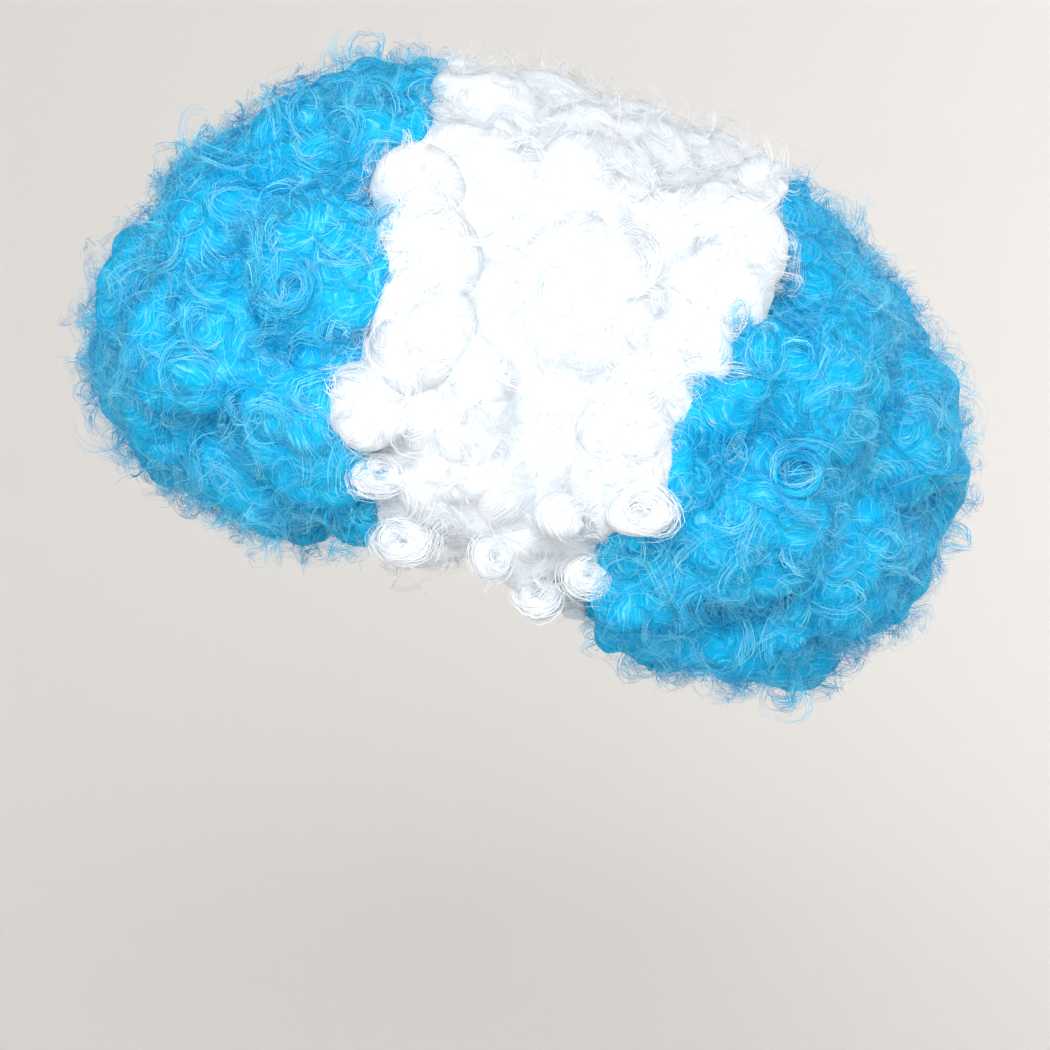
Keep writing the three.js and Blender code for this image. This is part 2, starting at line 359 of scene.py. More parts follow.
def three_tones(tree, value, tones, middle, reach):
    """A colour that runs through the tones as value rises, with the second tone at middle and the others
    at reach from it."""
    ramp = add(tree, "ShaderNodeValToRGB", {"Fac": value})
    stops = ramp.color_ramp.elements
    stops.new(0.5)
    for stop, position, tone in zip(stops, (middle - reach, middle, middle + reach), tones):
        stop.position = position
        stop.color = tone
    return ramp.outputs["Color"]


def crimped_modacrylic(name, tones):
    """Modacrylic fibre, spun, dyed and steam-curled: a soft gloss along each strand, and strands that
    differ in tone, partly at random as the dye takes unevenly and partly as painted light: the tones run
    from a shaded to a lit copy of the fibre's colour, and loose strands are set paler."""
    made, tree = blank_material(name)
    tone = add(tree, "ShaderNodeAttribute", attribute_name="tone").outputs["Fac"]
    shader = add(
        tree,
        "ShaderNodeBsdfPrincipled",
        {
            "Base Color": three_tones(tree, tone, tones, middle=0.45, reach=0.27),
            "Roughness": 0.36,
            "IOR": 1.52,
            "Specular IOR Level": 0.4,
        },
    )
    finish_material(tree, shader)
    return made


def matted_modacrylic(name, tones):
    """The same fibre packed into ringlets: fine streaks that run in arcs over each, a drawn texture of
    wisps whose tones run from a shaded to a lit copy of the fibre's colour, painted shade between them
    and painted highlight on them.
    """
    made, tree = blank_material(name)
    ring = add(tree, "ShaderNodeAttribute", attribute_name="ring").outputs["Fac"]
    place = add(tree, "ShaderNodeTexCoord").outputs["Object"]
    # Wisps wander over to the next four rings and back within about 7 mm
    bend = add(tree, "ShaderNodeTexNoise", {"Vector": place, "Scale": 1 / 0.007, "Detail": 2.0})
    count = add(
        tree, "ShaderNodeMath", {0: bend.outputs["Fac"], 1: 4.0, 2: ring}, operation="MULTIPLY_ADD"
    )
    # A wisp can be followed for about 9 mm before it sinks under others
    far = add(tree, "ShaderNodeVectorMath", {0: place, "Scale": 1 / 0.009}, operation="SCALE")
    streaks = add(
        tree,
        "ShaderNodeTexNoise",
        {
            "Vector": far.outputs[0],
            "W": count.outputs[0],
            "Scale": 1.0,
            "Detail": 2.0,
            "Roughness": 0.65,
        },
        noise_dimensions="4D",
    )
    border = add(tree, "ShaderNodeAttribute", attribute_name="border").outputs["Fac"]
    faded = add(tree, "ShaderNodeMix", {"Factor": border, "A": streaks.outputs["Fac"], "B": 0.5})
    streaks = faded.outputs["Result"]
    bump = add(tree, "ShaderNodeBump", {"Height": streaks, "Strength": 0.8, "Distance": 0.0014})
    shader = add(
        tree,
        "ShaderNodeBsdfPrincipled",
        {
            "Base Color": three_tones(tree, streaks, tones, middle=0.53, reach=0.23),
            "Roughness": 0.7,
            "IOR": 1.52,
            "Specular IOR Level": 0.2,
            "Normal": bump.outputs[0],
        },
    )
    finish_material(tree, shader)
    return made


def knitted_nylon_net(look):
    """Nylon thread knitted to a fine six-sided net: matt, with each cell a little darker than its
    threads."""
    made, tree = blank_material("knitted_nylon_net")
    place = add(tree, "ShaderNodeTexCoord").outputs["Object"]
    cells = add(
        tree,
        "ShaderNodeTexVoronoi",
        {"Vector": place, "Scale": 1 / look.net_cell, "Randomness": 0.25},
        feature="DISTANCE_TO_EDGE",
    )
    thread = add(
        tree,
        "ShaderNodeMapRange",
        {
            "Value": cells.outputs["Distance"],
            "From Min": 0.08,
            "From Max": 0.2,
            "To Min": 1.0,
            "To Max": 0.0,
        },
    )
    mix = add(
        tree,
        "ShaderNodeMix",
        {"Factor": thread.outputs[0], "A": look.net_shade[:], "B": look.net[:]},
        data_type="RGBA",
    )
    bump = add(
        tree, "ShaderNodeBump", {"Height": thread.outputs[0], "Strength": 0.6, "Distance": 0.0003}
    )
    shader = add(
        tree,
        "ShaderNodeBsdfPrincipled",
        {"Base Color": mix.outputs["Result"], "Roughness": 0.8, "IOR": 1.53, "Normal": bump.outputs[0]},
    )
    finish_material(tree, shader)
    return made


def woven_elastic(look):
    """Rubber threads covered in polyester and woven flat: fine ribs that run round the edge."""
    made, tree = blank_material("woven_elastic")
    place = add(tree, "ShaderNodeTexCoord").outputs["Object"]
    level = add(
        tree, "ShaderNodeVectorMath", {0: place, 1: tuple(OPENING_NORMAL)}, operation="DOT_PRODUCT"
    )
    turns = add(
        tree,
        "ShaderNodeMath",
        {0: level.outputs["Value"], 1: 2 * math.pi / look.elastic_rib},
        operation="MULTIPLY",
    )
    ribs = add(tree, "ShaderNodeMath", {0: turns.outputs[0]}, operation="SINE")
    height = add(tree, "ShaderNodeMath", {0: ribs.outputs[0], 1: 0.5, 2: 0.5}, operation="MULTIPLY_ADD")
    mix = add(
        tree,
        "ShaderNodeMix",
        {"Factor": height.outputs[0], "A": look.elastic_shade[:], "B": look.elastic[:]},
        data_type="RGBA",
    )
    bump = add(
        tree, "ShaderNodeBump", {"Height": height.outputs[0], "Strength": 0.7, "Distance": 0.0004}
    )
    shader = add(
        tree,
        "ShaderNodeBsdfPrincipled",
        {"Base Color": mix.outputs["Result"], "Roughness": 0.7, "IOR": 1.5, "Normal": bump.outputs[0]},
    )
    finish_material(tree, shader)
    return made


def seamless_paper(look):
    """Uncoated studio paper: matt, with a faint grain."""
    made, tree = blank_material("seamless_paper")
    place = add(tree, "ShaderNodeTexCoord").outputs["Object"]
    # The grain of the pulp is drawn at 4 mm, which is as fine as shows at this distance
    grain = add(tree, "ShaderNodeTexNoise", {"Vector": place, "Scale": 1 / 0.004, "Detail": 2.0})
    bump = add(
        tree, "ShaderNodeBump", {"Height": grain.outputs["Fac"], "Strength": 0.05, "Distance": 0.0005}
    )
    shader = add(
        tree,
        "ShaderNodeBsdfPrincipled",
        {
            "Base Color": look.paper[:],
            "Roughness": 0.95,
            "Specular IOR Level": 0.2,
            "Normal": bump.outputs[0],
        },
    )
    finish_material(tree, shader)
    return made


@functools.cache
def hair_material(band, make):
    """The fibre of a band, as make gives it."""
    look = bpy.context.scene.wig_colours
    if BAND_SLOT[band] == "hair_blue":
        return make(make.__name__ + "_blue", (look.blue_deep[:], look.blue[:], look.blue_lit[:]))
    return make(make.__name__ + "_white", (look.white_deep[:], look.white[:], look.white_lit[:]))


# Form


def unit(vectors):
    """Vectors of length 1."""
    return vectors / np.maximum(np.linalg.norm(vectors, axis=-1, keepdims=True), 1e-9)


def thinned(points, share):
    """Points of the hair, moved towards the cap by a share of the hair's depth there, but not into the
    way to it."""
    away = points - CAP_CENTRE
    depth = np.linalg.norm(away / CAP_HALF, axis=1, keepdims=True)
    moved = CAP_CENTRE + away * (1 + (depth - 1) * (1 - share)) / depth
    plan = np.linalg.norm(moved[:, :2] / WAY_HALF, axis=1, keepdims=True)
    in_way = (plan < WAY_CLEAR) & (moved @ OPENING_NORMAL < 0)[:, None]
    moved[:, :2] = np.where(in_way, moved[:, :2] * WAY_CLEAR / plan, moved[:, :2])
    return moved


def add_piece(name, mesh, material):
    """Puts a mesh in the scene as a piece of the wig."""
    piece = bpy.data.objects.new(name, mesh)
    bpy.context.scene.collection.objects.link(piece)
    mesh.materials.append(material)
    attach(piece, "root")
    return piece


@functools.cache
def soft_band(band):
    """The band's solid with its facets and creases softened, as a mesh."""
    source = bpy.data.objects.new("soft_" + band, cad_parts["hair_" + band].data.copy())
    bpy.context.scene.collection.objects.link(source)
    remesh = source.modifiers.new("even_faces", "REMESH")
    remesh.mode = "VOXEL"
    remesh.voxel_size = 0.004
    smooth = source.modifiers.new("soften", "SMOOTH")
    smooth.factor = 0.5
    smooth.iterations = 18
    shown = source.evaluated_get(bpy.context.evaluated_depsgraph_get())
    mesh = bpy.data.meshes.new_from_object(shown)
    bpy.data.objects.remove(source)
    return mesh


@functools.cache
def whole_skin():
    """The softened solids of all bands together, to look for the outermost hair with a ray."""
    points, faces = [], []
    for band in BANDS:
        mesh = soft_band(band)
        faces += [[corner + len(points) for corner in face.vertices] for face in mesh.polygons]
        points += [vertex.co.copy() for vertex in mesh.vertices]
    return BVHTree.FromPolygons(points, faces)


@functools.cache
def skin_of(band, share):
    """Where strands can start on a band that is thinned by share: middle, normal and area of each
    triangle of its outer side, and then of the wall round the way into the cap."""
    mesh = soft_band(band)
    mesh.calc_loop_triangles()
    points = np.empty(len(mesh.vertices) * 3, np.float32)
    corners = np.empty(len(mesh.loop_triangles) * 3, np.int32)
    mesh.vertices.foreach_get("co", points)
    mesh.loop_triangles.foreach_get("vertices", corners)
    points = thinned(points.reshape(-1, 3).astype(float), share)
    a, b, c = points[corners.reshape(-1, 3)].transpose(1, 0, 2)
    cross = np.cross(b - a, c - a)
    middle = (a + b + c) / 3
    normal = unit(cross)
    area = np.linalg.norm(cross, axis=1) / 2
    out = np.einsum("ij,ij->i", normal, unit(middle - CAP_CENTRE))
    outer = out > OUTER_LEAN
    wall = (out < 0) & (middle @ OPENING_NORMAL < -WALL_DROP)
    return [(middle[part], normal[part], area[part]) for part in (outer, wall)]


def scatter_on(skin, count, rng):
    """count places on a skin, with the normals there."""
    middle, normal, area = skin
    chosen = rng.choice(len(area), size=count, p=area / area.sum())
    return middle[chosen] + rng.normal(scale=SKIN_SPREAD, size=(count, 3)), normal[chosen]


def tree_of(points):
    """A search tree of the points, by their place in the row."""
    tree = KDTree(len(points))
    for index, point in enumerate(points):
        tree.insert(point, index)
    tree.balance()
    return tree


def spaced(points, distance):
    """Which of the points to keep so that none has another nearer than distance."""
    tree = tree_of(points)
    kept = np.ones(len(points), bool)
    for index, point in enumerate(points):
        if kept[index]:
            for _, other, _ in tree.find_range(point, distance):
                kept[other] &= other <= index
    return kept


def near_other_bands(band, points, sizes):
    """Which of the points lie close to a seam."""
    outer = [skin_of(other, sizes.thinning)[0][0] for other in BANDS if other != band]
    tree = tree_of(np.concatenate([middle[::SEAM_SAMPLE] for middle in outer]))
    return np.array([tree.find(point)[2] < sizes.ringlet_radius for point in points])


def across(axis):
    """Two unit vectors across each axis, at right angles."""
    helper = np.where(np.abs(axis[:, 2:]) < 0.9, [[0.0, 0.0, 1.0]], [[1.0, 0.0, 0.0]])
    u = unit(np.cross(axis, helper))
    return u, np.cross(axis, u)


def curled_paths(centre, axis, radius, oval, turns, rise, phase, taper, wander, wisp, steps, rng):
    """Strands that wind round an axis each, on a circle stretched by oval: their points, and the way out
    from the axis at each. Those of one wisp wander together."""
    t = np.linspace(0, 1, steps)[None, :, None]
    u, v = across(axis)
    angle = phase[:, None, None] + 2 * math.pi * turns[:, None, None] * t
    outward = np.cos(angle) * u[:, None] + np.sin(angle) * v[:, None]
    ovalness = np.cos(angle) * u[:, None] - np.sin(angle) * v[:, None]
    stretched = outward + oval[:, None, None] * ovalness
    reach = radius[:, None, None] * (1 - taper[:, None, None] * t)
    path = centre[:, None] + stretched * reach + axis[:, None] * rise[:, None, None] * (t - 0.5)
    wisps = wisp[-1] + 1
    for wave in (1, 2, 3):
        push = rng.normal(size=(wisps, 1, 3))[wisp] * wander[:, None, None] / wave
        path += push * np.sin(math.pi * wave * t + rng.uniform(0, WAVE_TURN, (wisps, 1, 1))[wisp])
    return path, outward


def turned_out(axis, outward, rng):
    """A way for each strand's ribbon to face, between its axis and straight out from it."""
    slant = rng.uniform(*RIBBON_SLANT, (len(axis), 1, 1))
    return np.cos(slant) * axis[:, None] + np.sin(slant) * outward


def quad_mesh(name, points, corners):
    """A smooth mesh of four-cornered faces."""
    mesh = bpy.data.meshes.new(name)
    mesh.vertices.add(points.size // 3)
    mesh.vertices.foreach_set("co", points.astype(np.float32).ravel())
    mesh.loops.add(corners.size)
    mesh.loops.foreach_set("vertex_index", corners.astype(np.int32).ravel())
    mesh.polygons.add(len(corners))
    mesh.polygons.foreach_set("loop_start", np.arange(len(corners), dtype=np.int32) * 4)
    mesh.polygons.foreach_set("use_smooth", np.ones(len(corners), bool))
    mesh.update(calc_edges=True)
    return mesh


def add_map(mesh, name, first, second):
    """A map with two numbers for each corner of each face."""
    spots = np.stack(np.broadcast_arrays(first, second), axis=-1)
    mesh.uv_layers.new(name=name).uv.foreach_set("vector", spots.astype(np.float32).ravel())


def strand_mesh(name, path, face, skin_normal, width, tone):
    """Strands as narrow ribbons that face outward, shaded as part of the mass they lie in."""
    count, steps, _ = path.shape
    along = unit(np.gradient(path, axis=1))
    side = unit(np.cross(along, face))
    ends = np.sin(np.linspace(*RIBBON_ENDS, steps) * math.pi) ** 0.5
    half = 0.5 * width[:, None, None] * ends[None, :, None]
    points = np.stack([path - side * half, path + side * half], axis=2)
    lit = SKIN_SHADE * skin_normal[:, None] + FACE_SHADE * face
    lit = unit(lit - along * np.sum(lit * along, axis=2, keepdims=True))
    normals = np.repeat(lit[:, :, None], 2, axis=2)

    first = (np.arange(count)[:, None] * steps + np.arange(steps - 1)).reshape(-1, 1) * 2
    mesh = quad_mesh(name, points, first + np.array([0, 1, 3, 2]))
    # Each strand has a cell of its own in the map
    cells = math.ceil(math.sqrt(count))
    strand = np.repeat(np.arange(count), steps - 1)[:, None]
    step = np.tile(np.arange(steps - 1), count)[:, None]
    low, high = CELL_MARGIN, 1 - CELL_MARGIN
    along_cell = low + (high - low) * (step + np.array([0, 0, 1, 1])) / (steps - 1)
    up_cell = np.broadcast_to(np.array([low, high, high, low]), along_cell.shape)
    add_map(mesh, "OFBake", (strand % cells + along_cell) / cells, (strand // cells + up_cell) / cells)
    tones = mesh.attributes.new("tone", "FLOAT", "POINT")
    tones.data.foreach_set("value", np.repeat(tone, steps * 2).astype(np.float32))
    shading = mesh.attributes.new("custom_normal", "FLOAT_VECTOR", "POINT")
    shading.data.foreach_set("vector", normals.astype(np.float32).ravel())
    mesh.update()
    return mesh


def lobe_spots(eye, axis, radius, spacing, rng):
    """Places at least spacing apart on the outer side of a lobe, with the way out at each."""
    out = unit(rng.normal(size=(LOBE_TRIES, 3)))
    out = out[out @ axis > OUTER_LEAN]
    spots = eye + radius * (out - (1 - LOBE_HEIGHT) * (out @ axis)[:, None] * axis)
    keep = spaced(spots, spacing)
    return spots[keep], out[keep]


def side_curls(band):
    """The curls that stand out from a band, on both sides: middle, radius, thickness of the ring, and the
    way to the side."""
    look = bpy.context.scene.wig_stage
    skin = whole_skin()
    eyes, radii, thick, sides = [], [], [], []
    for row in SIDE_CURLS:
        if row["band"] != band:
            continue
        for side in (1, -1):
            radius = row["radius"] / MM_PER_M
            camera = Vector((side * look.camera_distance, look.aim_back, look.aim_up))
            seen = Vector((0, row["back"] / MM_PER_M, row["up"] / MM_PER_M))
            # It sits as far out as the hair round it, not down in a seam
            out = []
            for turn in np.linspace(0, 2 * math.pi, SIDE_RAYS, endpoint=False):
                beside = seen + RAY_CIRCLE * radius * Vector((0, math.cos(turn), math.sin(turn)))
                hit, _, _, _ = skin.ray_cast(camera, beside - camera)
                if hit is not None and hit.x * side > 0:
                    out.append(hit.x)
            depth = look.camera_distance - np.quantile(np.abs(out), RAY_RANK)
            eye = camera + (seen - camera) * depth / look.camera_distance
            eyes.append(np.array(eye) - [min(row["thick"], MOST_SUNK) * radius * side, 0, 0])
            radii.append(radius)
            thick.append(row["thick"])
            sides.append((side, 0.0, 0.0))
    return np.array(eyes), np.array(radii), np.array(thick), np.array(sides)


@functools.cache
def ringlets_of(band):
    """A band's ringlets, and last the curls that stand out from it: eye, axis, the skin's normal, radius,
    height of the dome, a way along the skin, how oval they are, thickness of the ring, which is 0 for a
    plain ringlet, and the way they wind."""
    sizes = bpy.context.scene.wig_sizes
    habit = HABITS[BAND_SLOT[band]]
    rng = np.random.default_rng(RINGLET_SEED + BANDS.index(band))
    outer, _ = skin_of(band, sizes.thinning)
    seat, normal = scatter_on(outer, RINGLET_TRIES, rng)
    keep = spaced(seat, sizes.ringlet_spacing)
    seat, normal = seat[keep], normal[keep]
    eyes, radii, thick, sides = side_curls(band)
    for eye, reach in zip(eyes, SIDE_CLEAR * radii):
        clear = np.linalg.norm(seat - eye, axis=1) > reach
        seat, normal = seat[clear], normal[clear]
    toward = unit(sides + rng.normal(scale=SIDE_LEAN, size=(len(eyes), 3)))
    for index in np.flatnonzero(thick == LOBE):
        spots, out = lobe_spots(eyes[index], toward[index], radii[index], sizes.ringlet_spacing, rng)
        seat, normal = np.concatenate([seat, spots]), np.concatenate([normal, out])
    count, named = len(seat), len(eyes)
    plain = sizes.ringlet_radius * rng.uniform(*RINGLET_RADIUS, count)
    plain *= np.where(near_other_bands(band, seat, sizes), SEAM_RADIUS, 1)
    radius = np.concatenate([plain, radii])
    aside = np.cross(unit(rng.normal(size=(count + named, 3))), np.concatenate([normal, toward]))
    axis = unit(normal + rng.normal(scale=habit["lean"], size=(count, 3)))
    height = rng.uniform(*RINGLET_HEIGHT, count) * habit["rise"]
    oval = rng.uniform(*RINGLET_OVAL, count)
    side_oval = rng.uniform(*SIDE_OVAL, named) * (thick < LOBE)
    return {
        "eye": np.concatenate([seat, eyes]),
        "axis": np.concatenate([axis, toward]),
        "normal": np.concatenate([normal, toward]),
        "radius": radius,
        "height": radius * np.concatenate([height, np.full(named, SIDE_HEIGHT)]),
        "aside": aside * radius[:, None],
        "oval": np.concatenate([oval, side_oval]),
        "thick": np.concatenate([np.zeros(count), thick]),
        "spin": np.where(rng.random(count + named) < 0.5, -1.0, 1.0),
    }


def turned_to(axis, normal):
    """The axes, each turned to the side that its normal is on."""
    return axis * np.sign(np.sum(axis * normal, axis=1, keepdims=True) + 1e-6)


def add_loose_curls(piece, band, kind, centre, axis, normal, radius, rng):
    """Puts single strands in the scene as a piece, each wound round its own axis as kind says."""
    count = len(centre)
    oval = rng.uniform(*kind["oval"], count)
    turns = rng.uniform(*kind["turns"], count)
    if kind["both_ways"]:
        turns *= np.where(rng.random(count) < 0.5, -1, 1)
    path, outward = curled_paths(
        centre,
        axis,
        radius,
        oval,
        turns,
        rng.uniform(*kind["rise"], count),
        rng.uniform(0, 2 * math.pi, count),
        rng.uniform(*kind["taper"], count),
        np.full(count, kind["wander"]),
        np.arange(count),
        kind["points"],
        rng,
    )
    mesh = strand_mesh(
        piece,
        path,
        turned_out(axis, outward, rng),
        kind["skin_shade"] * normal,
        bpy.context.scene.wig_sizes.strand_width * rng.uniform(*kind["width"], count),
        np.clip(rng.normal(*kind["tone"], count), 0, 1),
    )
    add_piece(piece, mesh, hair_material(band, crimped_modacrylic))


# Operators


class WIG_OT_hair_bodies(bpy.types.Operator):
    """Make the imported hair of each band, with domes under its ringlets and the curls that stand out"""

    bl_idname = "wig.hair_bodies"
    bl_label = "Packed hair"

    def backing(self, band, sizes):
        """The softened band, thinned to leave room for loose curls: points, normals and faces."""
        soft = soft_band(band)
        points = np.empty(len(soft.vertices) * 3, np.float32)
        normals = np.empty(len(soft.vertices) * 3, np.float32)
        corners = np.empty(len(soft.polygons) * 4, np.int32)
        soft.vertices.foreach_get("co", points)
        soft.vertices.foreach_get("normal", normals)
        soft.loops.foreach_get("vertex_index", corners)
        points = thinned(points.reshape(-1, 3).astype(float), sizes.thinning)
        # The bands press together at their seams
        seam = near_other_bands(band, points, sizes)
        normals = normals.reshape(-1, 3)
        points[seam] += SEAM_PRESS * normals[seam]
        return points, normals, corners.reshape(-1, 4)

    def hoop(self, eye, axis, radius, oval, thick):
        """The ring of packed hair under a curl that stands out, or a lobe: its points, how far each is
        along the section, and its faces."""
        around, section = LOBE_POINTS if thick == LOBE else RING_POINTS
        turn = np.linspace(0, 2 * math.pi, around, endpoint=False)[:, None, None]
        u, v = (side[0] for side in across(axis[None]))
        outward = np.cos(turn) * u * (1 + oval) + np.sin(turn) * v * (1 - oval)
        here = np.arange(section)
        if thick == LOBE:
            bow = np.linspace(-LOBE_END, LOBE_END, section)[None, :, None]
            wide = np.cos(bow)
            high = LOBE_HEIGHT * np.sin(bow)
            # A lobe isn't joined from its top back to its foot
            here = here[:-1]
        else:
            bow = np.linspace(0, 2 * math.pi, section, endpoint=False)[None, :, None]
            swell = 1
            for (often, far), place in zip(RING_SWELLS.items(), eye[1:]):
                swell = swell + far * np.sin(often * turn + place * RING_PHASE)
            wide = 1 - thick + thick * swell * np.cos(bow)
            high = (1 + thick) * (thick * swell) * np.sin(bow)
        points = eye + radius * (outward * wide + axis * high)
        first = np.arange(around)[:, None] * section
        then = np.roll(first, -1)
        after = (here + 1) % section
        corners = np.stack([first + here, then + here, then + after, first + after], axis=-1)
        ring = HALF_GIRTH * radius * thick * np.sin(bow / 2)
        ring = np.broadcast_to(ring, (around, section, 1))
        return points.reshape(-1, 3), ring.ravel(), corners.reshape(-1, 4)

    def execute(self, context):
        for band in BANDS:
            points, normals, corners = self.backing(band, context.scene.wig_sizes)
            ringlets = ringlets_of(band)
            form = ("eye", "axis", "radius", "oval", "thick")
            tree = KDTree(len(ringlets["eye"]))
            hoops = []
            for index, eye in enumerate(ringlets["eye"]):
                hoop = tuple(ringlets[key][index] for key in form)
                if ringlets["thick"][index] == LOBE:
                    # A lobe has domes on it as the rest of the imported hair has
                    lobe, _, lobe_corners = self.hoop(*hoop)
                    corners = np.concatenate([corners, lobe_corners + len(points)])
                    normals = np.concatenate([normals, unit(lobe - eye)])
                    points = np.concatenate([points, lobe])
                    continue
                tree.insert(eye, index)
                _, axis, radius, oval, thick = hoop
                if thick > 0:
                    hoops.append(hoop)
                if thick > FLOOR_FROM:
                    # Packed hair closes the middle of a thick ring
                    middle = eye - FLOOR_DEPTH * radius * axis
                    hoops.append((middle, axis, FLOOR_RADIUS * radius, oval, LOBE))
            tree.balance()
            # The highest of the nearest domes is the one that shows
            found = [tree.find_n(point, NEAREST_DOMES) for point in points]
            near = np.array([[index for _, index, _ in spots] for spots in found])
            away = np.array([[distance for _, _, distance in spots] for spots in found])
            domes = ringlets["height"][near] * (1 - (away / ringlets["radius"][near]) ** 2)
            own = near[np.arange(len(points)), np.argmax(domes, axis=1)]
            middle = ringlets["eye"][own] + STREAK_MIDDLE * ringlets["aside"][own]
            ring = np.linalg.norm(points - middle, axis=1)
            points += normals * np.maximum(domes.max(axis=1), 0)[:, None]
            # Streaks fade towards the line where two domes meet
            border = np.zeros(len(points))
            meeting = np.ptp(own[corners], axis=1) > 0
            border[corners[meeting]] = HABITS[BAND_SLOT[band]]["fade"]
            for hoop in hoops:
                hoop_points, hoop_ring, hoop_corners = self.hoop(*hoop)
                corners = np.concatenate([corners, hoop_corners + len(points)])
                points = np.concatenate([points, hoop_points])
                ring = np.concatenate([ring, hoop_ring])
                border = np.concatenate([border, np.zeros(len(hoop_ring))])
            mesh = quad_mesh(f"packed_hair_{band}", points, corners)
            for name, values in (("ring", ring / WISP_SPACING), ("border", border)):
                kept = mesh.attributes.new(name, "FLOAT", "POINT")
                kept.data.foreach_set("value", values.astype(np.float32))
            mesh.update()
            material = hair_material(band, matted_modacrylic)
            body = add_piece(f"packed_hair_{band}", mesh, material)
            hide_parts("hair_" + band)
        return {"FINISHED"}


class WIG_OT_ringlets(bpy.types.Operator):
    """Make the strands that are wound into ringlets and rings"""

    bl_idname = "wig.ringlets"
    bl_label = "Ringlets"

    def strands(self, band, sizes, rng):
        """Strands that wind over domes and rings, in wisps: path, facing, skin normal, width and tone."""
        ringlets = ringlets_of(band)
        habit = HABITS[BAND_SLOT[band]]
        thick = ringlets["thick"]
        plain = sizes.blue_wisps if BAND_SLOT[band] == "hair_blue" else sizes.white_wisps
        ring = WISP["ring_wisps"] + WISP["thick_wisps"] * thick
        # A lobe has none of its own, because its ringlets have theirs
        many = np.select([thick == LOBE, thick > 0], [0, ring], plain).astype(int)
        own = np.repeat(np.arange(len(many)), many)
        wisps = len(own)
        radius = ringlets["radius"][own]
        thick = thick[own]
        hoop = thick > 0
        wild = np.where(hoop, WISP["ring_wild"], habit["wild"])
        lean = np.clip(rng.normal(size=(wisps, 3)), -WISP["most"], WISP["most"])
        axis = unit(ringlets["axis"][own] + lean * wild[:, None])
        bow = rng.uniform(*WISP["bow"], wisps)
        wound = 1 - thick + WISP["proud"] * thick * np.cos(bow)
        share = np.where(hoop, wound, np.sqrt(rng.uniform(*WISP["spread"], wisps)))
        fluff = rng.uniform(0.0, 1.0, wisps) ** 2
        dome = np.where(
            hoop,
            WISP["proud"] * thick * (1 + thick) * radius * np.sin(bow),
            ringlets["height"][own] * (1 - np.minimum(share, 1) ** 2),
        )
        height = dome + np.where(hoop, WISP["ring_fluff"], WISP["fluff"]) * fluff
        turns = ringlets["spin"][own] * rng.uniform(*WISP["turns"], wisps)
        phase = rng.uniform(0, 2 * math.pi, wisps)
        taper = rng.uniform(*WISP["taper"], wisps) * np.where(hoop, WISP["ring_taper"], 1)
        rise = rng.uniform(*WISP["rise"], wisps)
        up = np.where(hoop[:, None], axis, ringlets["normal"][own])
        loose = np.where(hoop, WISP["ring_loose"], WISP["loose"] * wild) * radius
        jitter = np.clip(rng.normal(size=(wisps, 3)), -WISP["most"], WISP["most"]) * loose[:, None]
        centre = ringlets["eye"][own] + up * height[:, None] + jitter
        # Wisps that lie higher above their dome are set paler, as painted light
        tone = WISP["tone"] + WISP["fluff_painted_light"] * fluff + rng.normal(scale=habit["tone"], size=wisps)

        wisp = np.repeat(np.arange(wisps), sizes.wisp_strands)
        own = own[wisp]
        count = len(wisp)
        path, outward = curled_paths(
            centre[wisp] + rng.normal(scale=WISP["strand_place"], size=(count, 3)),
            axis[wisp],
            ringlets["radius"][own] * share[wisp] * rng.normal(1, WISP["strand_radius"], count),
            ringlets["oval"][own],
            turns[wisp],
            rise[wisp],
            phase[wisp] + rng.normal(scale=WISP["strand_phase"], size=count),
            taper[wisp] + rng.normal(scale=WISP["strand_taper"], size=count),
            WISP["wander"] * wild[wisp] / HABITS["hair_blue"]["wild"],
            wisp,
            WISP["points"],
            rng,
        )
        tilt = np.clip(WISP["tilt"] * share[wisp], 0, WISP["most_tilt"])
        tilt = tilt + rng.normal(scale=WISP["strand_tilt"], size=count)
        face = np.sin(tilt)[:, None, None] * outward + (np.cos(tilt)[:, None] * axis[wisp])[:, None]
        width = sizes.strand_width * (WISP["width"] - WISP["fluff_width"] * fluff[wisp])
        width = width * rng.uniform(*WISP["strand_width"], count)
        tone = tone[wisp] + rng.normal(scale=WISP["strand_tone"], size=count)
        return path, face, ringlets["normal"][own], width, np.clip(tone, 0, 1)

    def execute(self, context):
        sizes = context.scene.wig_sizes
        for number, band in enumerate(BANDS):
            parts = self.strands(band, sizes, np.random.default_rng(CURL_SEED + number))
            left = parts[0][:, 0, 0] > 0
            for side, chosen in (("left", left), ("right", ~left)):
                mesh = strand_mesh(f"curls_{band}_{side}", *(part[chosen] for part in parts))
                add_piece(mesh.name, mesh, hair_material(band, crimped_modacrylic))
        return {"FINISHED"}


